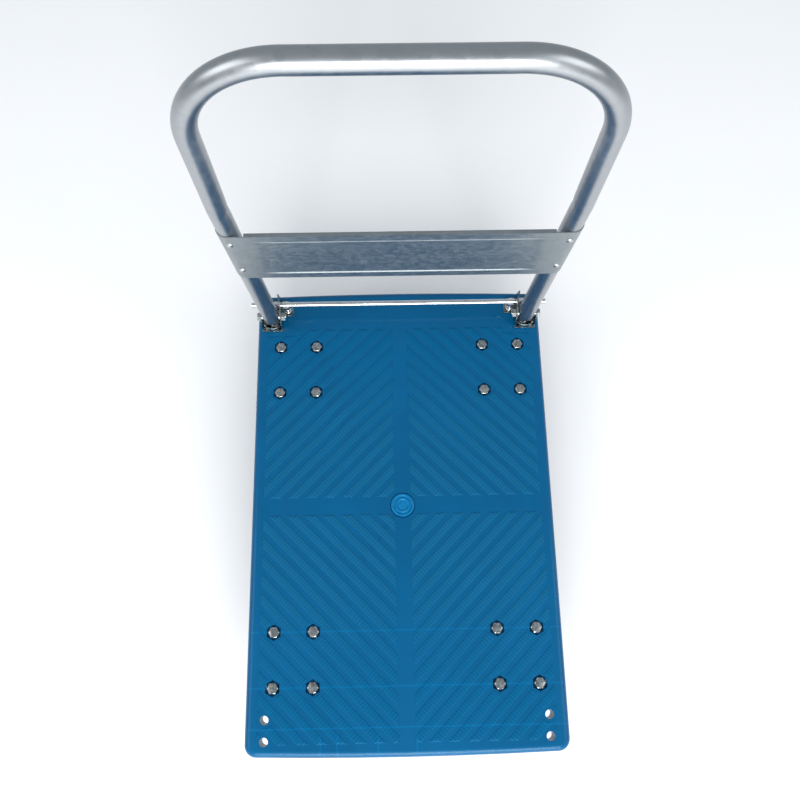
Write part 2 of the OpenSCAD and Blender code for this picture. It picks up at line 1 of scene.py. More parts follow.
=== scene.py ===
"""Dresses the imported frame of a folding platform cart: moulded deck, tube handle, hinges and casters."""

import math

import bmesh
import bpy
import numpy as np
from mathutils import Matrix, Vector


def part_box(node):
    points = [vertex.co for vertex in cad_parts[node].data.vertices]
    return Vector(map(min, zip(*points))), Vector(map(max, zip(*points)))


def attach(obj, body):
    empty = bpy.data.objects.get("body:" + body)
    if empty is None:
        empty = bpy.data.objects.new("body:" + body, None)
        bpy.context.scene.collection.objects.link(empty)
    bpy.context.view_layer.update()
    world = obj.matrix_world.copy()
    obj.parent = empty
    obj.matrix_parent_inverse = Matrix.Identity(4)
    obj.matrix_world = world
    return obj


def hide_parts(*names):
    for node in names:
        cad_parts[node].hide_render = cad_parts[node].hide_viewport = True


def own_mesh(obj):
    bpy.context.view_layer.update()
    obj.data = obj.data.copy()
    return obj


bl_info = {
    "name": "Folding Platform Cart",
    "version": (1, 0, 0),
    "blender": (4, 5, 0),
    "location": "View3D > Sidebar > Cart",
    "description": "Dresses the frame of a folding platform cart with its detailed pieces and finishes",
    "category": "Object",
}

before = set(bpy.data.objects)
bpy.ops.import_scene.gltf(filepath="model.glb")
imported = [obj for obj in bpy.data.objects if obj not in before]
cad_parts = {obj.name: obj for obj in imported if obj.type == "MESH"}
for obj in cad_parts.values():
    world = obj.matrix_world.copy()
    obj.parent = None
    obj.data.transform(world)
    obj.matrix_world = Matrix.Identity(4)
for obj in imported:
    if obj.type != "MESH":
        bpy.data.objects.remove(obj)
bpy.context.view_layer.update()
SIDES = np.array([-1.0, 1.0])


# ---- Where things are, in metres ----

DECK_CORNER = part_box("deck")[1]
HALF_W, DECK_TOP = float(DECK_CORNER[0]), float(DECK_CORNER[2])
HINGE_Y, HINGE_Z = 0.317, 0.186
HINGE_X = 0.214
TUBE_R, TUBE_BORE_R = 0.014, 0.0125
KINK_BEND_R, CORNER_BEND_R = 0.150, 0.115
LEG_X = float(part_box("handle_tube")[1][0]) - TUBE_R
BAR_Z = float(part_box("handle_tube")[1][2]) - TUBE_R
KINK_Z = DECK_TOP + 0.370
FOOT_R = 0.0143
BASE_TOP = DECK_TOP + 0.003
CASTER_X, CASTER_Y = 0.170, 0.231
BOLT_X, BOLT_Y = 0.030, 0.040
CORNER_X = 0.211
CORNER_Y = (0.315, 0.345)
FRONT_HOLE_R, REAR_HOLE_R = 0.0065, 0.0045
TREAD_BAND_X, TREAD_BAND_Y, TREAD_SIDE = 0.0115, 0.0135, 0.018
TREAD_REAR, TREAD_FRONT = 0.302, 0.350
ROD_Y = HINGE_Y + 0.01895
SPRING_X = 0.18875
FLANGE_DEPTH, SHEET_T = 0.005, 0.0012
RIVET_HEIGHTS = (DECK_TOP + 0.230, DECK_TOP + 0.303)
POCKET_DEPTH = 0.005
PANEL_LOW = float(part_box("handle_panel")[0][2])
PANEL_HIGH = float(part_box("handle_panel")[1][2])
LEAN = math.atan((LEG_X - HINGE_X) / (KINK_Z - HINGE_Z))


def leg_at(z):
    """How far a leg's axis stands from the middle plane at height z."""
    return HINGE_X + (z - HINGE_Z) * math.tan(LEAN)


# ---- Sizes and colours that a user would change ----


def length_property(name, description, default, low, high):
    """A length in metres that the sidebar shows with its unit."""
    return bpy.props.FloatProperty(
        name=name, description=description, default=default, min=low, max=high, unit="LENGTH", precision=5
    )


def colour_property(name, description, default):
    """A colour that the sidebar shows as a swatch."""
    return bpy.props.FloatVectorProperty(
        name=name, description=description, default=default, size=3, min=0.0, max=1.0, subtype="COLOR"
    )


class CartSizes(bpy.types.PropertyGroup):
    """Sizes of the cart's surface detail."""

    tread_pitch: length_property(
        "Tread pitch", "Distance between two bars of the tread", 0.0202, 0.012, 0.03
    )
    tread_bar: length_property("Tread bar width", "Width of one bar of the tread", 0.0140, 0.006, 0.02)
    tread_rise: length_property(
        "Tread height", "How far the tread stands above the deck", 0.00065, 0.0004, 0.002
    )
    tooth_pitch: length_property(
        "Tooth pitch", "Distance between the teeth along a bar", 0.005, 0.003, 0.01
    )
    tooth_depth: length_property("Tooth depth", "Depth of the cuts between the teeth", 0.0004, 0.0, 0.001)
    rim_edge: length_property(
        "Pocket edge", "Width of the eased edge round the bolt pockets", 0.0007, 0.0002, 0.0015
    )
    sheet_edge: length_property(
        "Sheet edge", "Width of the eased edges of the pressed steel", 0.0004, 0.0001, 0.001
    )
    kink_dent: length_property(
        "Kink dent", "Depth of the press marks at the kinks of the legs", 0.0009, 0.0, 0.002
    )


class CartColours(bpy.types.PropertyGroup):
    """Colours of the cart's materials."""

    deck: colour_property("Deck", "Moulded plastic of the platform", (0.0, 0.088, 0.218))
    tread: colour_property("Tread", "Raised bars of the tread", (0.006, 0.107, 0.236))
    plug: colour_property("Plug", "Round cap in the middle of the deck", (0.006, 0.150, 0.345))
    tube: colour_property("Tube", "Galvanised tube of the handle", (0.41, 0.43, 0.45))
    panel: colour_property("Panel", "Galvanised sheet of the handle's panel", (0.33, 0.365, 0.38))
    zinc: colour_property("Zinc", "Plated fasteners and casters", (0.60, 0.61, 0.61))
    rubber: colour_property("Rubber", "Tyres", (0.03, 0.03, 0.033))
    floor: colour_property("Floor", "Studio floor", (0.97, 0.97, 0.97))


# ---- Shader expressions ----


class Shade:
    """An output of a shader node that can be added, multiplied and compared like a number."""

    def __init__(self, paint, socket):
        self.paint, self.socket = paint, socket

    def math(self, operation, *others):
        return self.paint.add("ShaderNodeMath", {"operation": operation}, dict(enumerate((self, *others))))

    def __add__(self, other):
        return self.math("ADD", other)

    def __mul__(self, other):
        return self.math("MULTIPLY", other)

    def __sub__(self, other):
        return self.math("SUBTRACT", other)

    def __rsub__(self, other):
        return self.paint.add("ShaderNodeMath", {"operation": "SUBTRACT"}, {0: other, 1: self})

    __radd__ = __add__
    __rmul__ = __mul__

    def step(self, low, high):
        """0 below low, 1 above high and a soft rise between them."""
        settings = {"interpolation_type": "SMOOTHSTEP", "clamp": True}
        return self.paint.add("ShaderNodeMapRange", settings, {0: self, 1: low, 2: high})


class Paint:
    """A material in the making, with its shader and one method that adds its nodes."""

    def __init__(self, name, **constants):
        self.material = bpy.data.materials.new(name)
        self.material.use_nodes = True
        self.tree = self.material.node_tree
        self.shader = self.tree.nodes["Principled BSDF"]
        for socket, value in constants.items():
            self.shader.inputs[socket.replace("_", " ")].default_value = value

    def add(self, kind, settings=None, inputs=None, output=0):
        """Adds a node of that kind, makes its settings, then feeds its sockets."""
        node = self.tree.nodes.new(kind)
        for name, value in (settings or {}).items():
            if name == "stops":
                self.set_stops(node.color_ramp.elements, value)
            else:
                setattr(node, name, value)
        for socket, value in (inputs or {}).items():
            self.feed(node.inputs[socket], value)
        return Shade(self, node.outputs[output])

    def set_stops(self, elements, stops):
        """Puts the ramp's colours at their places."""
        for place, colour in stops[1:-1]:
            elements.new(place)
        for element, (place, colour) in zip(elements, stops):
            element.position, element.color = place, (*colour, 1.0)

    def feed(self, socket, value):
        """Links a node's output to a socket, or sets the socket's own value."""
        if isinstance(value, Shade):
            self.tree.links.new(value.socket, socket)
        else:
            socket.default_value = value

    def put(self, **channels):
        """Feeds what varies over the surface into the shader."""
        for name, value in channels.items():
            self.feed(self.shader.inputs[name.replace("_", " ")], value)

    def place(self, stretch=(1.0, 1.0, 1.0), turn=(0.0, 0.0, 0.0)):
        """Object coordinates, stretched and turned."""
        spot = self.add("ShaderNodeTexCoord", output=3)
        return self.add("ShaderNodeMapping", None, {0: spot, 2: turn, 3: stretch})

    def axis(self, letter, spot=None):
        """One of the three coordinates, in metres."""
        spot = spot or self.add("ShaderNodeTexCoord", output=3)
        return self.add("ShaderNodeSeparateXYZ", None, {0: spot}, "XYZ".index(letter))

    def noise(self, scale, detail=3.0, rough=0.5, spot=None, warp=0.0):
        """Cloudy noise from 0 to 1."""
        inputs = {"Scale": scale, "Detail": detail, "Roughness": rough, "Distortion": warp}
        inputs["Vector"] = spot or self.place()
        return self.add("ShaderNodeTexNoise", None, inputs)

    def spangle(self, scale, spot=None):
        """One tone, from 0 to 1, for each zinc crystal: the cells of many scattered points."""
        grains = self.add("ShaderNodeTexVoronoi", None, {"Scale": scale, "Vector": spot or self.place()}, 1)
        return self.add("ShaderNodeSeparateColor", None, {0: grains})

    def mix(self, amount, first, second, blend="MIX"):
        """Mixes two colours."""
        settings = {"data_type": "RGBA", "blend_type": blend}
        colours = {0: amount, 6: self.full(first), 7: self.full(second)}
        return self.add("ShaderNodeMix", settings, colours, 2)

    def full(self, colour):
        """A colour with its fourth number."""
        return colour if isinstance(colour, Shade) else (*colour[:3], 1.0)

    def bump(self, height, strength, distance):
        """A normal that follows a height."""
        return self.add(
            "ShaderNodeBump", None, {"Strength": strength, "Distance": distance, "Height": height}
        )


def lighter(colour, amount):
    """A colour taken part of the way to white, or to black where amount is below 0."""
    goal = 1.0 if amount > 0 else 0.0
    return tuple(c + (goal - c) * abs(amount) for c in colour)


def scaled(colour, factor):
    """A colour of the same hue, brighter or darker by a factor."""
    return tuple(min(c * factor, 1.0) for c in colour)


# ---- Materials ----

BLUE_GLEAM = (0.15, 0.65, 1.0, 1.0)


def paint_deck(colour):
    """Moulded polypropylene: a fine etched grain, flow clouds, sink dents over the ribs with a painted
    highlight along them, and small scuffs.
    """
    p = Paint("deck_plastic", IOR=1.49, Specular_IOR_Level=0.3, Specular_Tint=BLUE_GLEAM)
    p.put(Coat_Weight=0.22, Coat_Roughness=0.2)
    grain, clouds = p.noise(1500.0, 2.0), p.noise(9.0, 4.0, 0.55)
    scuffs = p.noise(60.0, 6.0, 0.7, p.place((1.0, 6.0, 1.0), (0.0, 0.0, 0.5))).step(0.60, 0.72)
    sink_and_sheen = sink_and_sheen_lines(p)
    tone = p.mix(clouds.step(0.3, 0.7), scaled(colour, 0.94), scaled(colour, 1.06))
    tone = p.mix(scuffs * 0.25, tone, scaled(colour, 1.4))
    # painted highlight: the base colour is lighter along the sink lines, standing for the light the dents
    # catch; the bump below gives the dents themselves
    tone = p.mix(sink_and_sheen * 0.35, tone, scaled(colour, 1.7))
    rough = 0.36 + grain * 0.10 + clouds * 0.06 + scuffs * 0.10
    normal = p.bump(grain * 0.5 - sink_and_sheen * 0.5 + clouds * 0.4, 0.35, 0.0002)
    p.put(Base_Color=tone, Roughness=rough, Normal=normal)
    return p.material


def sink_and_sheen_lines(p):
    """1 along the faint lines where ribs under the top have drawn it in: three across the front of the
    deck, and four short ones at its front edge. The deck's paint dents the surface along them, and both
    paints make the colour lighter there as a painted highlight."""
    along, across = p.axis("Y"), p.axis("X")
    ribs_y = sum((rib_line(along, y) for y in (-0.328, -0.271, -0.191)), 0.0)
    ribs_x = sum((rib_line(across, x) for x in (-0.128, -0.103, -0.043, 0.014)), 0.0)
    near_front = (0.0 - along).step(0.33, 0.345)
    on_top = p.axis("Z").step(DECK_TOP - 0.004, DECK_TOP - 0.001)
    return (ribs_y + ribs_x * near_front) * on_top


def rib_line(coordinate, place):
    """1 on a straight line across the deck and 0 more than 2 mm from it."""
    return 1.0 - (coordinate - place).math("ABSOLUTE").step(0.0004, 0.0022)


def paint_tread(colour, plain):
    """The tread's bars: lighter on their tops as a painted highlight, with patches of stronger painted
    highlight, and darker in the cuts and low edges as painted shade, in the middle of the deck; nearer to the
    deck's plain colour towards both ends, with a painted highlight along the sink lines."""
    p = Paint("tread_plastic", IOR=1.49, Specular_IOR_Level=0.3, Specular_Tint=BLUE_GLEAM)
    height = (p.axis("Z") - DECK_TOP).step(0.0, 0.0007)
    grain, clouds = p.noise(1300.0, 2.0), p.noise(14.0, 4.0)
    # painted highlight and painted shade: the bars' tops are lighter and the cuts and low edges darker,
    # following the height of the relief
    tone = p.mix(height, scaled(colour, 0.78), scaled(colour, 1.04))
    # patches of stronger painted highlight on the bars' tops
    tone = p.mix(clouds.step(0.45, 0.75) * height * 0.4, tone, scaled(colour, 1.25))
    to_ends = p.axis("Y").math("ABSOLUTE").step(0.10, 0.30)
    tone = p.mix(to_ends * 0.65, tone, plain)
    # painted highlight: lighter along the sink lines
    tone = p.mix(sink_and_sheen_lines(p) * 0.35, tone, scaled(plain, 1.7))
    p.put(Base_Color=tone, Roughness=0.42 + grain * 0.10 - clouds * 0.05, Normal=p.bump(grain, 0.3, 0.0002))
    return p.material


def paint_plug(colour):
    """Injection-moulded cap: smoother and lighter than the deck, with a faint swirl from its gate."""
    p = Paint("plug_plastic", IOR=1.49, Specular_IOR_Level=0.45, Specular_Tint=BLUE_GLEAM)
    swirl, grain = p.noise(70.0, 3.0, 0.5, None, 1.5), p.noise(1400.0, 2.0)
    tone = p.mix(swirl.step(0.35, 0.7), scaled(colour, 0.92), scaled(colour, 1.12))
    p.put(Base_Color=tone, Roughness=0.28 + swirl * 0.12, Normal=p.bump(grain, 0.15, 0.0002))
    return p.material


def paint_tube(colour):
    """Galvanised tube: drawing lines along it, a faint spangle and small handling marks."""
    p = Paint("galvanised_tube", Metallic=1.0)
    uv = p.add("ShaderNodeTexCoord", output=2)
    lines = p.noise(160.0, 3.0, 0.6, p.add("ShaderNodeMapping", None, {0: uv, 3: (0.04, 1.0, 1.0)}))
    spangle = p.spangle(130.0)
    marks = p.noise(90.0, 5.0, 0.7).step(0.62, 0.70)
    tone = p.mix(spangle * 0.5, lighter(colour, -0.07), lighter(colour, 0.03))
    tone = p.mix(marks * 0.35, tone, lighter(colour, -0.35))
    rough = 0.27 + lines * 0.10 + spangle * 0.05 + marks * 0.15
    p.put(Base_Color=tone, Roughness=rough, Normal=p.bump(lines, 0.10, 0.0002))
    return p.material


def paint_panel(colour):
    """Galvanised sheet: spangle, rolling lines across the sheet and a slight unevenness."""
    p = Paint("panel_steel", Metallic=1.0)
    spangle = p.spangle(150.0, p.place((1.0, 1.0, 1.4)))
    rolled = p.noise(180.0, 3.0, 0.6, p.place((0.05, 1.0, 1.0)))
    waves, marks = p.noise(11.0, 2.0), p.noise(70.0, 6.0, 0.7).step(0.6, 0.7)
    tone = p.mix(spangle * 0.5, lighter(colour, -0.09), lighter(colour, 0.05))
    tone = p.mix(marks * 0.3, tone, lighter(colour, -0.3))
    rough = 0.36 + spangle * 0.08 + rolled * 0.10 + marks * 0.12
    p.put(Base_Color=tone, Roughness=rough, Normal=p.bump(rolled * 0.4 + waves * 2.0, 0.25, 0.0006))
    return p.material


def paint_zinc(name, colour, tint=0.0, rough=0.24, scale=55.0, depth=0.16):
    """Zinc plate: grey clouds, a yellow and violet cast where tint is more than 0, rubbed spots and
    pitting."""
    p = Paint(name, Metallic=1.0)
    clouds, film = p.noise(scale, 4.0, 0.6), p.noise(scale * 0.7, 2.0, 0.5, None, 1.2)
    pits, rubs = p.noise(1100.0, 3.0), p.noise(scale * 4.0, 5.0, 0.7).step(0.58, 0.70)
    tone = p.mix(clouds.step(0.3, 0.7), lighter(colour, -depth), lighter(colour, depth / 2))
    shades = [
        (0.0, (0.20, 0.24, 0.32)),
        (0.42, (0.27, 0.32, 0.27)),
        (0.60, (0.16, 0.27, 0.31)),
        (1.0, (0.24, 0.22, 0.28)),
    ]
    cast = p.add("ShaderNodeValToRGB", {"stops": shades}, {0: film})
    tone = p.mix(tint, tone, cast)
    tone = p.mix(rubs * 0.35, tone, lighter(colour, -0.4))
    bumps = p.bump(pits * 0.6 + clouds, 0.16, 0.0003)
    p.put(Base_Color=tone, Roughness=rough + clouds * 0.14 + rubs * 0.16, Normal=bumps)
    return p.material


def paint_bright(name, colour, axis_stretch):
    """Bright drawn steel: fine lines along one axis and faint wear."""
    p = Paint(name, Metallic=1.0)
    lines, wear = p.noise(420.0, 3.0, 0.6, p.place(axis_stretch)), p.noise(80.0, 4.0)
    tone = p.mix(wear.step(0.4, 0.75), colour, lighter(colour, -0.18))
    p.put(Base_Color=tone, Roughness=0.14 + lines * 0.12 + wear * 0.06, Normal=p.bump(lines, 0.12, 0.0002))
    return p.material


def paint_rubber(colour):
    """Moulded rubber: matt, finely stippled, with pale dust in its hollows."""
    p = Paint("tyre_rubber", IOR=1.52, Specular_IOR_Level=0.35)
    stipple, dust = p.noise(900.0, 3.0), p.noise(45.0, 5.0, 0.65).step(0.50, 0.75)
    tone = p.mix(dust * 0.35, colour, (0.14, 0.135, 0.13))
    p.put(
        Base_Color=tone, Roughness=0.62 + stipple * 0.12 + dust * 0.10, Normal=p.bump(stipple, 0.35, 0.0003)
    )
    return p.material


def paint_plain_plastic(name, colour, rough):
    """Moulded plastic of the hidden pieces: fine grain and soft flow clouds."""
    p = Paint(name, IOR=1.5)
    grain, flow = p.noise(1200.0, 2.0), p.noise(30.0, 3.0, 0.5, None, 0.8)
    tone = p.mix(flow.step(0.3, 0.7), lighter(colour, -0.12), lighter(colour, 0.06))
    p.put(Base_Color=tone, Roughness=rough + grain * 0.1, Normal=p.bump(grain, 0.2, 0.0002))
    return p.material


def paint_floor(colour):
    """Pale studio floor with a barely visible tone in it."""
    p = Paint("studio_floor", Roughness=0.85)
    tone = p.mix(p.noise(1.5, 2.0).step(0.3, 0.7), colour, lighter(colour, -0.02))
    p.put(Base_Color=tone)
    return p.material


# ---- Surfaces ----


def grid_faces(rows, columns, wrap_rows=False, wrap_columns=True):
    """The quads of a grid whose points are counted row by row, closed on itself where it wraps."""
    i, j = np.meshgrid(
        np.arange(rows if wrap_rows else rows - 1),
        np.arange(columns if wrap_columns else columns - 1),
        indexing="ij",
    )
    down, right = (i + 1) % rows, (j + 1) % columns
    quads = np.stack(
        [i * columns + j, i * columns + right, down * columns + right, down * columns + j], axis=-1
    )
    return quads.reshape(-1, 4)


def outward(points, faces):
    """The faces with their order turned round if the closed shape they make is inside out."""
    volume = 0.0
    for group in faces:
        first = points[group[:, 0]]
        for k in range(1, group.shape[1] - 1):
            volume += np.einsum("ij,ij->", first, np.cross(points[group[:, k]], points[group[:, k + 1]]))
    return faces if volume > 0 else [group[:, ::-1] for group in faces]


def add_piece(name, shells, body, material, stands_for=(), sharp=35.0):
    """Makes one object of closed shells, each a pair of points and face arrays, and ties it to its body."""
    points = np.concatenate([shell[0] for shell in shells])
    starts = np.cumsum([0] + [len(shell[0]) for shell in shells[:-1]])
    turned = [
        [g + start for g in outward(p - p.mean(0), faces)] for start, (p, faces) in zip(starts, shells)
    ]
    groups = [g for faces in turned for g in faces]
    corners = np.concatenate([g.ravel() for g in groups]).astype(np.int32)
    counts = np.concatenate([np.full(len(g), g.shape[1]) for g in groups])
    mesh = bpy.data.meshes.new(name)
    mesh.vertices.add(len(points))
    mesh.vertices.foreach_set("co", points.astype(np.float32).ravel())
    mesh.loops.add(len(corners))
    mesh.loops.foreach_set("vertex_index", corners)
    mesh.polygons.add(len(counts))
    mesh.polygons.foreach_set("loop_start", (np.cumsum(counts) - counts).astype(np.int32))
    mesh.polygons.foreach_set("use_smooth", np.ones(len(counts), bool))
    mesh.update()
    mesh.validate()
    mesh.set_sharp_from_angle(angle=math.radians(sharp))
    return tie(name, mesh, body, material, stands_for)


def tie(name, mesh, body, material, stands_for):
    """Puts a mesh in the scene, rides it on its body and names the nodes and the slot it stands for."""
    obj = bpy.data.objects.new(name, mesh)
    bpy.context.scene.collection.objects.link(obj)
    mesh.materials.clear()
    mesh.materials.append(material)
    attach(obj, body)
    if stands_for:
        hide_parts(*stands_for)
    return obj


def set_uv(obj, u, v):
    """Gives each corner the two values of its point, as the piece's own map."""
    mesh = obj.data
    index = np.empty(len(mesh.loops), np.int32)
    mesh.loops.foreach_get("vertex_index", index)
    layer = mesh.uv_layers.new(name="along")
    layer.data.foreach_set("uv", np.column_stack([u[index], v[index]]).astype(np.float32).ravel())


def turned(radius, height, steps=48):
    """A solid turned about Z. Radius and height list a profile, or hold one row of it for each step round."""
    angle = np.arange(steps) * 2 * np.pi / steps
    radius, height = (np.asarray(a, float) for a in (radius, height))
    if radius.ndim == 1:
        radius, height = (np.repeat(a[:, None], steps, 1) for a in (radius, height))
    x, y = radius * np.cos(angle), radius * np.sin(angle)
    if radius[0].max() > 1e-9:
        points = np.stack([x, y, height], -1).reshape(-1, 3)
        return points, [grid_faces(len(radius), steps, True)]
    points = np.stack([x, y, height], -1)[1:-1].reshape(-1, 3)
    rows = len(radius) - 2
    poles = np.array([[0, 0, height[0, 0]], [0, 0, height[-1, 0]]])
    ring, after = np.arange(steps), (np.arange(steps) + 1) % steps
    first = np.stack([np.full(steps, rows * steps), after, ring], -1)
    last = np.stack(
        [np.full(steps, rows * steps + 1), (rows - 1) * steps + ring, (rows - 1) * steps + after], -1
    )
    return np.concatenate([points, poles]), [grid_faces(rows, steps), np.concatenate([first, last])]


def laid_along_x(shell):
    """A shell whose Z axis is turned to run along X."""
    points, faces = shell
    return points[:, [2, 1, 0]] * np.array([1.0, 1.0, -1.0]), faces


def moved(shell, place):
    """A shell moved to a place."""
    return shell[0] + np.asarray(place), shell[1]


def mirrored(shell):
    """A shell reflected in the middle plane, with its faces turned back outwards."""
    return shell[0] * np.array([-1.0, 1.0, 1.0]), [g[:, ::-1] for g in shell[1]]


def hex_head(flats, height, bore_r, below, steps=72):
    """A hexagon head or nut: its radius round is half the flats over the cosine of the angle from the
    nearest flat, and its top falls away at 30 degrees outside a circle as wide as the flats. A shank
    hangs below it."""
    angle = np.arange(steps) * 2 * np.pi / steps
    from_flat = (angle + np.pi / 6) % (np.pi / 3) - np.pi / 6
    hexagon = flats / 2 / np.cos(from_flat)
    face_r = flats * 0.475
    drop = (hexagon - face_r) * math.tan(math.radians(30))
    rim = np.maximum(hexagon - 0.0003, face_r)
    rows = [
        (0, height), (face_r * 0.86, height), (face_r * 0.9, height - 0.0001), (face_r, height - 0.0001)
    ]
    rows += [(rim, height - drop * 0.9 - 0.0001), (hexagon, height - drop - 0.0003), (hexagon, 0.0002)]
    rows += [
        (hexagon - 0.0002, 0),
        (bore_r, 0),
        (bore_r, -below),
        (bore_r * 0.8, -below - 0.0008),
        (0, -below - 0.0008),
    ]
    radius = np.stack([np.broadcast_to(r, steps) for r, _ in rows])
    heights = np.stack([np.broadcast_to(h, steps) for _, h in rows])
    return turned(radius, heights, steps)


def slab(points_x, points_y, height, floor):
    """Closed islands of a relief: cells of the grid whose four heights all lie under the deck are left
    out, and walls run round the rest down to the floor."""
    rows, columns = height.shape
    quads = grid_faces(rows, columns, False, False)
    flat = height.ravel()
    quads = quads[(flat[quads] > -0.00025).any(axis=1)]
    edges = np.concatenate([quads[:, [k, (k + 1) % 4]] for k in range(4)])
    key, back = edges[:, 0] * flat.size + edges[:, 1], edges[:, 1] * flat.size + edges[:, 0]
    rim = edges[~np.isin(key, back)]
    used, index = np.unique(quads, return_inverse=True)
    quads = index.reshape(-1, 4)
    new = np.full(flat.size, -1)
    new[used] = np.arange(len(used))
    rim = new[rim]
    top = np.stack([points_x.ravel()[used], points_y.ravel()[used], DECK_TOP + flat[used]], -1)
    low = top.copy()
    low[:, 2] = DECK_TOP - floor
    n = len(used)
    walls = np.stack([rim[:, 1], rim[:, 0], rim[:, 0] + n, rim[:, 1] + n], -1)
    return np.concatenate([top, low]), [np.concatenate([quads, quads[:, ::-1] + n, walls])]


def smoothstep(value, low, high):
    """0 below low, 1 above high, and a soft rise between them."""
    t = np.clip((value - low) / (high - low), 0, 1)
    return t * t * (3 - 2 * t)


def eased_copy(name, node, body, material, width, sharp=30.0):
    """A merged copy of a frame node with soft shading and its sharp edges eased to the given width."""
    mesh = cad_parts[node].data.copy()
    mesh.name = name
    obj = tie(name, mesh, body, material, (node,))
    weld(mesh)
    mesh.set_sharp_from_angle(angle=math.radians(sharp))
    if width > 0:
        bevel = obj.modifiers.new("eased", "BEVEL")
        bevel.width, bevel.segments, bevel.limit_method = width, 2, "ANGLE"
        bevel.angle_limit, bevel.use_clamp_overlap, bevel.harden_normals = math.radians(sharp), True, False
    return obj


def merge_close(mesh):
    """Merges points that lie in the same place, and the faces that have shrunk to nothing with them."""
    skin = bmesh.new()
    skin.from_mesh(mesh)
    bmesh.ops.remove_doubles(skin, verts=skin.verts, dist=2e-6)
    bmesh.ops.dissolve_degenerate(skin, edges=skin.edges, dist=1e-6)
    skin.to_mesh(mesh)
    skin.free()


def weld(mesh):
    """Merges the loose triangles of a copied node into one skin and makes it smooth."""
    skin = bmesh.new()
    skin.from_mesh(mesh)
    bmesh.ops.remove_doubles(skin, verts=skin.verts, dist=2e-6)
    bmesh.ops.dissolve_limit(
        skin, angle_limit=math.radians(0.2), verts=skin.verts, edges=skin.edges, delimit={"MATERIAL"}
    )
    skin.to_mesh(mesh)
    skin.free()
    mesh.polygons.foreach_set("use_smooth", np.ones(len(mesh.polygons), bool))


# ---- The stage ----


class CART_OT_stage(bpy.types.Operator):
    """Adds the floor, the soft lights and the camera"""

    bl_idname = "cart.stage"
    bl_label = "Stage"

    def execute(self, context):
        add_floor(context)
        add_light("left_box", (-2.4, -0.4, 2.4), 1.8, 27.0)
        add_light("right_box", (2.4, -0.6, 2.4), 1.8, 24.0)
        add_light("front_box", (0.1, -2.9, 1.6), 1.9, 130.0)
        context.scene.view_settings.view_transform = "Standard"
        add_world()
        add_camera(context)
        return {"FINISHED"}


def add_floor(context):
    """A large flat floor under the wheels."""
    points = np.array([[-9, -9, 0], [9, -9, 0], [9, 9, 0], [-9, 9, 0]], float) - [0, 0, 0.0002]
    mesh = bpy.data.meshes.new("floor")
    mesh.from_pydata(points.tolist(), [], [(0, 1, 2, 3)])
    mesh.materials.append(paint_floor(context.scene.cart_colours.floor))
    floor = bpy.data.objects.new("floor", mesh)
    context.scene.collection.objects.link(floor)


def add_light(name, place, size, power):
    """A square soft light that faces the middle of the cart."""
    data = bpy.data.lights.new(name, "AREA")
    data.shape, data.size, data.energy = "SQUARE", size, power
    lamp = bpy.data.objects.new(name, data)
    bpy.context.scene.collection.objects.link(lamp)
    lamp.location = place
    aim = np.array([0.0, 0.05, 0.25]) - np.array(place)
    yaw = math.atan2(aim[0], -aim[1])
    lamp.rotation_euler = (math.acos(-aim[2] / np.linalg.norm(aim)), 0.0, yaw + math.pi)


def add_world():
    """An even pale surround."""
    world = bpy.data.worlds.new("studio")
    bpy.context.scene.world = world
    world.use_nodes = True
    background = world.node_tree.nodes["Background"]
    background.inputs["Color"].default_value = (0.86, 0.93, 1.0, 1.0)
    background.inputs["Strength"].default_value = 0.52


def add_camera(context):
    """A camera high over the front of the cart that looks down and a little to the rear."""
    data = bpy.data.cameras.new("camera")
    data.sensor_width, data.lens = 36.0, 35.18
    camera = bpy.data.objects.new("camera", data)
    context.scene.collection.objects.link(camera)
    camera.location = (-0.0172, -0.2005, DECK_TOP + 1.2405)
    camera.rotation_euler = (math.radians(16.84), math.radians(-0.41), math.radians(-1.14))
    context.scene.camera = camera


# ---- Deck ----


class CART_OT_deck(bpy.types.Operator):
    """Adds the platform with its eased edges, the tread and the cap in its middle"""

    bl_idname = "cart.deck"
    bl_label = "Deck"

    def execute(self, context):
        sizes, colours = context.scene.cart_sizes, context.scene.cart_colours
        plastic, tread = paint_deck(colours.deck), paint_tread(colours.tread, colours.deck)
        deck = eased_copy("deck_body", "deck", "deck_frame", plastic, 0.0)
        ease_rims(deck, sizes.rim_edge)
        for sx in SIDES:
            for sy in SIDES:
                name = f"deck_tread_{'rear' if sy > 0 else 'front'}_{'right' if sx > 0 else 'left'}"
                quarter = add_piece(
                    name, [tread_quarter(sizes, sx, sy)], "deck_frame", tread, sharp=50.0
                )
                merge_close(quarter.data)
                quarter.data.set_sharp_from_angle(angle=math.radians(50.0))
        add_piece(
            "deck_plug_cap",
            [plug_cap()],
            "deck_frame",
            paint_plug(colours.plug),
            ("deck_plug",),
        )
        return {"FINISHED"}


def bolt_places():
    """The sixteen bolts' places in plan."""
    x = (SIDES[:, None] * CASTER_X + SIDES * BOLT_X).ravel()
    y = (SIDES[:, None] * CASTER_Y + SIDES * BOLT_Y).ravel()
    return np.stack(np.meshgrid(x, y), -1).reshape(-1, 2)


def hole_places():
    """The eight corner holes' places in plan."""
    x, y = SIDES * CORNER_X, (SIDES[:, None] * np.array(CORNER_Y)).ravel()
    return np.stack(np.meshgrid(x, y), -1).reshape(-1, 2)


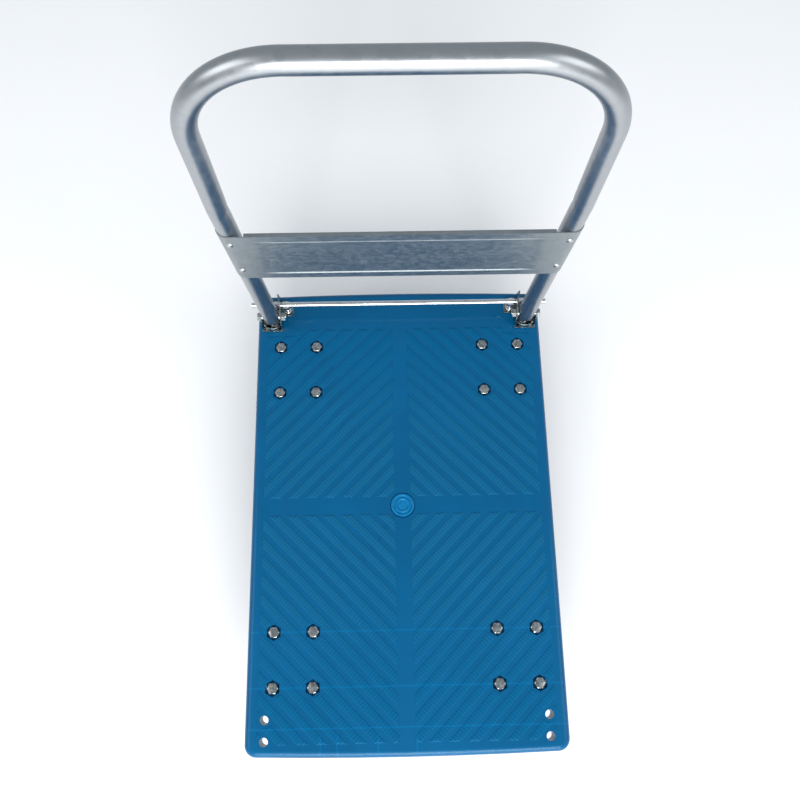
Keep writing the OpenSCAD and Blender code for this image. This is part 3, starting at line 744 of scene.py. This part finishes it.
def ease_rims(deck, width):
    """Marks the upper rims of the pockets, the holes and the plug's seat, and bevels only those."""
    mesh = deck.data
    place = np.empty(len(mesh.vertices) * 3, np.float32)
    mesh.vertices.foreach_get("co", place)
    place = place.reshape(-1, 3)
    ends = np.empty(len(mesh.edges) * 2, np.int32)
    mesh.edges.foreach_get("vertices", ends)
    middle = place[ends.reshape(-1, 2)]
    on_top = (middle[:, :, 2] > DECK_TOP - 1e-5).all(axis=1)
    centres = np.concatenate([bolt_places(), hole_places(), [[0.0, 0.0]]])
    holes = [(REAR_HOLE_R if y > 0 else FRONT_HOLE_R) + 0.0003 for _, y in hole_places()]
    reach = np.array([0.0125] * 16 + holes + [0.0205])
    gap = np.linalg.norm(middle[:, :, None, :2] - centres, axis=-1)
    round_one = ((gap < reach).all(axis=1)).any(axis=1)
    weight = mesh.attributes.new("bevel_weight_edge", "FLOAT", "EDGE")
    weight.data.foreach_set("value", (on_top & round_one).astype(np.float32))
    bevel = deck.modifiers.new("rims", "BEVEL")
    bevel.width, bevel.segments, bevel.limit_method = width, 3, "WEIGHT"


def tread_quarter(sizes, side_x, side_y):
    """A quarter of the tread. Bars run at 45 degrees round the middle: v is the distance across them and u
    the distance along them. A bar's crown is an eased arch across, and along it the height falls and
    rises once for each tooth. It sinks into the deck at its ends and near pockets, holes, brackets and
    the plain bands."""
    half, rise, root = sizes.tread_bar / 2, sizes.tread_rise, math.sqrt(2)
    across = np.array([-1.12, -1.0, -0.86, -0.55, 0.0, 0.55, 0.86, 1.0, 1.12]) * half
    crown = np.array([-0.45, 0.05, 0.72, 0.97, 1.0, 0.97, 0.72, 0.05, -0.45]) * rise
    left, right, near = TREAD_BAND_X, HALF_W - TREAD_SIDE, TREAD_BAND_Y
    far = TREAD_REAR if side_y > 0 else TREAD_FRONT
    count = int((right + far) / root / sizes.tread_pitch) + 1
    centres = (np.arange(count) + 0.62) * sizes.tread_pitch
    v = (centres[:, None] + across)[:, :, None]
    step = sizes.tooth_pitch / 4
    u_all = np.arange(-int(far * root / step), int(right * root / step) + 1) * step
    low = np.maximum(left * root - v, v - far * root)
    high = np.minimum(right * root - v, v - near * root)
    u = np.clip(u_all, low, np.maximum(high, low))
    x, y = side_x * (v + u) / root, side_y * (v - u) / root
    teeth = 0.5 + 0.5 * np.cos(2 * np.pi * u_all / sizes.tooth_pitch)
    height = crown[None, :, None] - sizes.tooth_depth * teeth * (crown[None, :, None] > 0)
    height = np.minimum(height, np.clip(tread_clearance(x, y) / 0.0016, -1, 1) * rise)
    inside = (u_all > low) & (u_all < high)
    height = np.where(inside, height, -0.0005)
    shells = [slab(x[k], y[k], height[k], 0.0008) for k in range(count) if height[k].max() > 0]
    starts = np.cumsum([0] + [len(points) for points, _ in shells[:-1]])
    points = np.concatenate([points for points, _ in shells])
    return points, [np.concatenate([faces[0] + start for (_, faces), start in zip(shells, starts)])]


def tread_clearance(x, y):
    """How far a point is outside everything that interrupts the tread, less a small margin."""
    clear = np.full(x.shape, 1.0)
    for bx, by in bolt_places():
        dx, dy = np.abs(x - bx), np.abs(y - by)
        clear = np.minimum(clear, np.maximum(dx, dx * 0.5 + dy * math.cos(math.pi / 6)) - 0.0125)
    for hx, hy in hole_places():
        clear = np.minimum(clear, np.hypot(x - hx, y - hy) - FRONT_HOLE_R - 0.004)
    clear = np.minimum(clear, np.hypot(x, y) - 0.024)
    bracket = np.maximum(0.176 - np.abs(x), 0.292 - y)
    return np.minimum(clear, bracket)


def plug_cap():
    """The cap, turned about Z: a domed middle, two raised rings with a groove between, and its neck below."""
    mm = 0.001
    profile = [
        (0, 0.35), (3, 0.33), (6, 0.1), (7.2, -0.35), (8.0, -0.4), (8.6, 0.1), (9.4, 0.75), (11.0, 0.8)
    ]
    profile += [
        (11.7, 0.2), (12.2, -0.45), (14.2, -0.45), (14.8, 0.2), (15.4, 0.78), (17.6, 0.8), (18.3, 0.5)
    ]
    profile += [
        (18.5, 0.0), (18.5, -2.0), (14.5, -2.0), (14.5, -26.0), (11.5, -26.0), (11.5, -4.0), (0, -4.0)
    ]
    r, z = np.array(profile).T * mm
    return moved(turned(r, z, 72), (0.0, 0.0, DECK_TOP))


# ---- Handle ----


class CART_OT_handle(bpy.types.Operator):
    """Adds the bent tube of the handle, its pressed panel and the panel's rivets"""

    bl_idname = "cart.handle"
    bl_label = "Handle"

    def execute(self, context):
        sizes, colours = context.scene.cart_sizes, context.scene.cart_colours
        shell, u, v = handle_skin(sizes.kink_dent)
        tube = add_piece(
            "handle_tube_skin",
            [shell],
            "handle",
            paint_tube(colours.tube),
            ("handle_tube",),
        )
        set_uv(tube, u, v)
        panel = paint_panel(colours.panel)
        add_piece(
            "handle_panel_sheet",
            [panel_sheet(), panel_flange()],
            "handle",
            panel,
            ("handle_panel",),
            40.0,
        )
        zinc = paint_zinc("rivet_zinc", colours.zinc, 0.0, 0.2)
        add_piece("panel_rivet_heads", rivet_shells(), "handle", zinc, ("panel_rivets",))
        return {"FINISHED"}


def handle_path():
    """The handle's centre line in X and Z from the right foot to the left one, with the unit vector that
    points to its outer side: straight legs, an arc at each kink, a quarter circle at each top corner."""
    kink_r, corner_r = KINK_BEND_R, CORNER_BEND_R
    tangent = kink_r * math.tan(LEAN / 2)
    out = np.array([math.cos(LEAN), -math.sin(LEAN)])
    foot = np.array([HINGE_X, HINGE_Z])
    rise = np.array([math.sin(LEAN), math.cos(LEAN)])
    leg = np.linspace(0, 1, 60)[:, None] * ((KINK_Z - HINGE_Z) / math.cos(LEAN) - tangent) * rise + foot
    a = np.linspace(-LEAN, 0, 9)
    kink = np.stack([LEG_X - kink_r + kink_r * np.cos(a), KINK_Z + tangent + kink_r * np.sin(a)], -1)
    b = np.linspace(0, math.pi / 2, 33)
    corner = np.stack(
        [LEG_X - corner_r + corner_r * np.cos(b), BAR_Z - corner_r + corner_r * np.sin(b)], -1
    )
    upper = np.linspace(kink[-1], corner[0], 24)[1:-1]
    bar = np.linspace(corner[-1], [0.0, BAR_Z], 14)[1:]
    line = np.concatenate([leg[:-1], kink, upper, corner, bar])
    angle = np.concatenate([np.full(59, -LEAN), a, np.zeros(22), b, np.full(13, math.pi / 2)])
    side = np.stack([np.cos(angle), np.sin(angle)], -1)
    left = line[:-1][::-1] * [-1, 1], side[:-1][::-1] * [-1, 1]
    return np.concatenate([line, left[0]]), np.concatenate([side, left[1]])


def handle_skin(dent):
    """The tube's wall as one closed skin: a circle carried along the centre line outside, and a smaller
    one back inside. Both feet follow an arc about the hinge, and short press marks flatten the inner
    side of the kinks."""
    line, side = handle_path()
    steps = 48
    k = np.arange(steps) * 2 * np.pi / steps
    length = np.concatenate([[0], np.cumsum(np.linalg.norm(np.diff(line, axis=0), axis=1))])
    along = np.minimum(length, length[-1] - length)
    kink_at = (KINK_Z - HINGE_Z) / math.cos(LEAN)
    bar_at = length[-1] / 2 - (LEG_X - CORNER_BEND_R)
    ripple = np.exp(-(((along - kink_at) / 0.009) ** 2)) * (0.7 + 0.3 * np.cos((along - kink_at) / 0.0022))
    ripple = ripple + 0.55 * np.exp(-(((along - bar_at) / 0.006) ** 2))
    inner_side = np.clip(-np.cos(k), 0, 1) ** 2

    def wall(radius):
        r = radius - dent * ripple[:, None] * inner_side
        out, y = r * np.cos(k), r * np.sin(k)
        return np.stack([line[:, :1] + out * side[:, :1], y, line[:, 1:] + out * side[:, 1:]], -1)

    outer, inner = wall(TUBE_R), wall(TUBE_BORE_R)
    down = np.array([-math.sin(LEAN), 0.0, -math.cos(LEAN)])
    for skin in (outer, inner):
        drop = np.sqrt(np.maximum(FOOT_R**2 - skin[0, :, 1] ** 2, 0))[:, None]
        skin[0] += down * drop
        skin[-1] += down * [-1, 1, 1] * drop
    points = np.concatenate([outer, inner[::-1]]).reshape(-1, 3) + [0, HINGE_Y, 0]
    rows = 2 * len(line)
    u = np.repeat(np.concatenate([length, length[::-1]]), steps)
    v = np.tile(np.abs(k / np.pi - 1) * 0.044, rows)
    return (points, [grid_faces(rows, steps, True)]), u, v


def panel_sheet():
    """The pressed sheet: a flat front that turns round the outer half of each leg, carried from the lower
    edge to the upper one as the legs spread. Two rounded beads stand out along it, and the field
    between them is pressed in a little, with soft ends."""
    turn = np.linspace(-90, 90, 22) * np.pi / 180
    inset, bead_r, bead_h, thick, r = 0.014, 0.0030, 0.0007, SHEET_T, TUBE_R
    flat_half = leg_at(PANEL_LOW)
    bead_x = flat_half - 0.0015 - r - inset - 0.002
    near = np.linspace(-0.006, 0.006, 17)
    plan = np.concatenate([-bead_x + near, np.linspace(-bead_x + 0.02, bead_x - 0.02, 15), bead_x + near])
    rows = np.concatenate(
        [[PANEL_LOW], PANEL_LOW + inset + near, np.linspace(PANEL_LOW + 0.03, PANEL_HIGH - 0.03, 6)]
    )
    rows = np.concatenate([rows, PANEL_HIGH - inset - 0.002 + near, [PANEL_HIGH - 0.003, PANEL_HIGH]])
    shift = (rows - PANEL_LOW) * math.tan(LEAN)

    def face(radius, proud):
        z = np.repeat(rows[:, None], len(plan), 1)
        x = np.repeat(plan[None], len(rows), 0)
        low, high = PANEL_LOW + inset, PANEL_HIGH - inset - 0.002
        away = np.minimum(np.abs(z - low), np.abs(z - high))
        ends = 1 - smoothstep(np.abs(x), bead_x - 0.016, bead_x + 0.004)
        ridge = np.cos(np.clip(away / bead_r, 0, 1) * np.pi / 2) ** 2 * bead_h
        field = smoothstep(z, low, low + 0.003) * (1 - smoothstep(z, high - 0.003, high)) * 0.0007
        bead = (ridge - field) * ends
        front = np.stack([x, -radius - bead * proud, z], -1)
        wrap_x = flat_half + shift[:, None] + radius * np.cos(turn)
        wrap_y = np.repeat(radius * np.sin(turn)[None], len(rows), 0)
        wrap = np.stack([wrap_x, wrap_y, np.repeat(rows[:, None], len(turn), 1)], -1)
        return np.concatenate([wrap[:, ::-1] * [-1, 1, 1], front, wrap], axis=1)

    outer, inner = face(r + thick, 1.0), face(r + 0.00005, 1.0)
    loop = np.concatenate([outer, inner[:, ::-1]], axis=1)
    points = loop.reshape(-1, 3) + [0, HINGE_Y, 0]
    n_rows, n_cols = loop.shape[:2]
    half = n_cols // 2
    i = np.arange(half - 1)
    cap = np.stack([i, i + 1, n_cols - 2 - i, n_cols - 1 - i], -1)
    return points, [np.concatenate([grid_faces(n_rows, n_cols), cap[:, ::-1], cap + (n_rows - 1) * n_cols])]


def panel_flange():
    """The flange folded back from the panel's upper edge: a strip with an eased rear edge, carried along
    X."""
    front, rear, thick = HINGE_Y - TUBE_R - 0.0001, HINGE_Y - TUBE_R + FLANGE_DEPTH, SHEET_T
    a = np.linspace(np.pi / 2, -np.pi / 2, 7)
    edge = np.stack(
        [rear - thick / 2 + thick / 2 * np.cos(a), PANEL_HIGH - thick / 2 + thick / 2 * np.sin(a)], -1
    )
    outline = np.concatenate([[[front, PANEL_HIGH]], edge, [[front, PANEL_HIGH - thick]]])
    outline = np.concatenate([outline, [[front, PANEL_HIGH - thick * 0.5]]])
    half = leg_at(PANEL_LOW) - 0.0168
    return carried_along_x(outline, np.linspace(-half, half, 12))


def carried_along_x(outline, stations):
    """A closed outline in Y and Z carried along X through the stations, with both ends filled."""
    n = len(outline)
    x = np.repeat(np.asarray(stations)[:, None], n, 1)
    points = np.stack(
        [
            x,
            np.repeat(outline[None, :, 0], len(stations), 0),
            np.repeat(outline[None, :, 1], len(stations), 0),
        ],
        -1,
    )
    half = n // 2
    i = np.arange(half - 1)
    start = np.stack([i, n - 1 - i, n - 2 - i, i + 1], -1)
    end = start[:, ::-1] + (len(stations) - 1) * n
    return points.reshape(-1, 3), [np.concatenate([grid_faces(len(stations), n), start, end])]


def rivet_shells():
    """Four domed rivets on the panel's face, turned about an axis that points forward."""
    a = np.linspace(0, np.pi / 2, 7)
    r = np.concatenate([0.0045 * np.sin(a), [0.0045, 0.0025, 0.0025, 0.0]])
    z = np.concatenate([0.0021 * np.cos(a) ** 1.2 + 0.0002, [0.0, 0.0, -0.0045, -0.0045]])
    points, faces = turned(r, z, 32)
    facing = points[:, [0, 2, 1]] * [1, -1, 1]
    places = [(s * leg_at(h), HINGE_Y - TUBE_R - SHEET_T, h) for s in SIDES for h in RIVET_HEIGHTS]
    return [(facing + place, faces) for place in places]


# ---- Fasteners ----


class CART_OT_fasteners(bpy.types.Operator):
    """Adds the bolts, nuts and washers of the casters, brackets and hinges"""

    bl_idname = "cart.fasteners"
    bl_label = "Fasteners"

    def execute(self, context):
        colours = context.scene.cart_colours
        zinc = paint_zinc("fastener_zinc", lighter(colours.zinc, -0.25), 0.2, 0.18, 220.0, 0.5)
        head = hex_head(0.015, 0.0064, 0.005, 0.0402)
        head = (spun(head[0], 30.0), head[1])
        bolts = [moved(head, (x, y, DECK_TOP - POCKET_DEPTH)) for x, y in bolt_places()]
        add_piece("caster_bolt_set", bolts, "deck_frame", zinc, ("caster_bolts",))
        places = [(x, y, BASE_TOP) for x, y in hole_places() if y > 0]
        cups = [moved(cup_bolt(), place) for place in places]
        add_piece("bracket_bolt_set", cups, "deck_frame", zinc, ("bracket_bolts",))
        out = moved(
            laid_along_x(hex_head(0.013, 0.0053, 0.004, 0.0417)), (HINGE_X + 0.01725, HINGE_Y, HINGE_Z)
        )
        add_piece(
            "hinge_bolt_set", [out, mirrored(out)], "deck_frame", zinc, ("hinge_bolts",)
        )
        for node in fastener_nodes():
            wear(node, zinc)
        return {"FINISHED"}


def fastener_nodes():
    """The small plated nodes that keep their own shape."""
    names = [
        "caster_washers", "caster_nuts", "bracket_washers", "bracket_nuts", "hinge_nuts", "lock_rod_clips"
    ]
    names += ["kingpin_nuts", "front_axle_bolts", "front_axle_nuts"]
    return names + [f"rear_axle_{kind}_{side}" for kind in ("bolt", "nut") for side in ("left", "right")]


def spun(points, degrees):
    """Points turned about Z."""
    a = math.radians(degrees)
    return points @ np.array([[math.cos(a), math.sin(a), 0], [-math.sin(a), math.cos(a), 0], [0, 0, 1]])


def cup_bolt():
    """A cup-headed bolt turned about Z: a low dome over a thin brim, and its shank."""
    a = np.linspace(0, np.pi / 2, 8)
    r = np.concatenate([0.0086 * np.sin(a), [0.009, 0.009, 0.004, 0.004, 0.0]])
    z = np.concatenate([0.0008 + 0.0024 * np.cos(a), [0.0005, 0.0, 0.0, -0.045, -0.045]])
    return turned(r, z, 40)


def wear(node, material):
    """Gives a frame node its finish."""
    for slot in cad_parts[node].material_slots:
        slot.material = material


# ---- Hinges and lock ----


class CART_OT_hinges(bpy.types.Operator):
    """Adds the hinge brackets, the lock rod's springs and the finishes round them"""

    bl_idname = "cart.hinges"
    bl_label = "Hinges and lock"

    def execute(self, context):
        sizes, colours = context.scene.cart_sizes, context.scene.cart_colours
        plate = paint_zinc("bracket_zinc", lighter(colours.zinc, -0.55), 0.6, 0.13, 40.0)
        for side in ("left", "right"):
            node = f"hinge_bracket_{side}"
            eased_copy(f"{node}_pressing", node, "deck_frame", plate, sizes.sheet_edge)
        bright = paint_bright("rod_steel", (0.66, 0.67, 0.68), (0.04, 1.0, 1.0))
        wear("lock_rod", bright)
        wear("lock_rod_seats", bright)
        wear("pivot_bushes", paint_bright("sleeve_steel", (0.58, 0.59, 0.61), (1.0, 0.05, 1.0)))
        wire = paint_bright("spring_steel", (0.66, 0.66, 0.64), (1.0, 1.0, 1.0))
        coils = [coil_spring(s) for s in SIDES]
        springs = add_piece(
            "lock_spring_coils", coils, "deck_frame", wire, ("lock_springs",)
        )
        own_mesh(springs)
        return {"FINISHED"}


def coil_spring(side):
    """A wire circle carried up a helix whose first and last turns lie close together, as ground ends do."""
    turns, steps, ring, wire, mean = 5, 180, 12, 0.001, 0.0055
    t = np.linspace(0, 1, steps)
    eased = t + 0.055 * np.sin(2 * np.pi * t) * -1.0
    angle = 2 * np.pi * turns * t
    height = wire + (0.020 - 2 * wire) * eased
    k = np.arange(ring) * 2 * np.pi / ring
    radius = mean + wire * np.cos(k)
    x, y = radius * np.cos(angle)[:, None], radius * np.sin(angle)[:, None]
    z = height[:, None] + wire * np.sin(k)
    points = np.stack([x, y, z], -1).reshape(-1, 3)
    fan = np.arange(1, ring - 1)
    cap = np.stack([np.zeros(ring - 2, int), fan, fan + 1], -1)
    caps = np.concatenate([cap[:, ::-1], cap + (steps - 1) * ring])
    return points + (side * SPRING_X, ROD_Y, BASE_TOP), [grid_faces(steps, ring, False), caps]


# ---- Casters ----


class CART_OT_casters(bpy.types.Operator):
    """Adds the tyres and the finishes of the forks, wheels and bearings"""

    bl_idname = "cart.casters"
    bl_label = "Casters"

    def execute(self, context):
        sizes, colours = context.scene.cart_sizes, context.scene.cart_colours
        zinc = paint_zinc("caster_zinc", colours.zinc, 0.08, 0.26, 30.0)
        rubber = paint_rubber(colours.rubber)
        core = paint_plain_plastic("wheel_plastic", (0.05, 0.055, 0.06), 0.4)
        nylon = paint_plain_plastic("bush_nylon", (0.78, 0.77, 0.72), 0.35)
        turned_steel = paint_bright("turned_steel", (0.55, 0.56, 0.58), (1.0, 1.0, 0.1))
        for side in ("left", "right"):
            bodies = {"fixed_fork": "deck_frame", "top_plate": "deck_frame", "swivel_fork": f"swivel_{side}"}
            for kind, body in bodies.items():
                node = f"{kind}_{side}"
                eased_copy(f"{node}_pressing", node, body, zinc, sizes.sheet_edge)
            for end in ("rear", "front"):
                node, body = f"{end}_tyre_{side}", f"{end}_wheel_{side}"
                add_piece(f"{node}_tread", [tyre(node)], body, rubber, (node,))
                wear(f"{end}_wheel_core_{side}", core)
                wear(f"{end}_wheel_bush_{side}", nylon)
            wear(f"ball_race_{side}", turned_steel)
            wear(f"rear_axle_sleeve_{side}", turned_steel)
        wear("kingpins", turned_steel)
        wear("front_axle_sleeves", turned_steel)
        return {"FINISHED"}


def tyre(node):
    """A tyre turned about X: a crowned tread with two shallow grooves, round shoulders and a flat bore."""
    low, high = (np.array(corner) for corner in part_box(node))
    centre, half, r = (low + high) / 2, float(high[0] - low[0]) / 2, float(high[2] - low[2]) / 2
    bore = r - 0.012
    w = np.linspace(-1, 1, 41)
    crown = r - 0.0010 * np.abs(w) ** 2 - 0.0055 * np.clip((np.abs(w) - 0.72) / 0.28, 0, 1) ** 2.4
    groove = 0.0012 * (np.exp(-(((w - 0.36) / 0.05) ** 2)) + np.exp(-(((w + 0.36) / 0.05) ** 2)))
    radius = np.concatenate([[bore], crown - groove, [bore]])
    along = np.concatenate([[-half], w * half, [half]])
    return moved(laid_along_x(turned(radius, along, 72)), centre)


# ---- Sidebar ----


class CART_PT_panel(bpy.types.Panel):
    """Lists the cart's pieces, sizes and colours"""

    bl_idname = "CART_PT_panel"
    bl_label = "Folding Platform Cart"
    bl_space_type = "VIEW_3D"
    bl_region_type = "UI"
    bl_category = "Cart"

    def draw(self, context):
        for step in STEPS:
            self.layout.operator(step.bl_idname)
        for group in (context.scene.cart_sizes, context.scene.cart_colours):
            for name in group.bl_rna.properties.keys():
                if name not in ("rna_type", "name"):
                    self.layout.prop(group, name)


STEPS = (CART_OT_stage, CART_OT_deck, CART_OT_handle, CART_OT_fasteners, CART_OT_hinges, CART_OT_casters)
CLASSES = (CartSizes, CartColours, *STEPS, CART_PT_panel)


def register():
    """Registers the classes and hangs the two groups on the scene."""
    for item in CLASSES:
        bpy.utils.register_class(item)
    bpy.types.Scene.cart_sizes = bpy.props.PointerProperty(type=CartSizes)
    bpy.types.Scene.cart_colours = bpy.props.PointerProperty(type=CartColours)


def unregister():
    """Takes the two groups off the scene and unregisters the classes."""
    del bpy.types.Scene.cart_colours
    del bpy.types.Scene.cart_sizes
    for item in reversed(CLASSES):
        bpy.utils.unregister_class(item)


def corners(box):
    """The two corners of a box as plain lists."""
    return [[float(value) for value in corner] for corner in box]


def main():
    """Builds the cart piece by piece."""
    register()
    bpy.ops.cart.stage()
    bpy.ops.cart.deck()
    bpy.ops.cart.handle()
    bpy.ops.cart.fasteners()
    bpy.ops.cart.hinges()
    bpy.ops.cart.casters()
    bpy.context.view_layer.update()


if __name__ == "__main__":
    main()
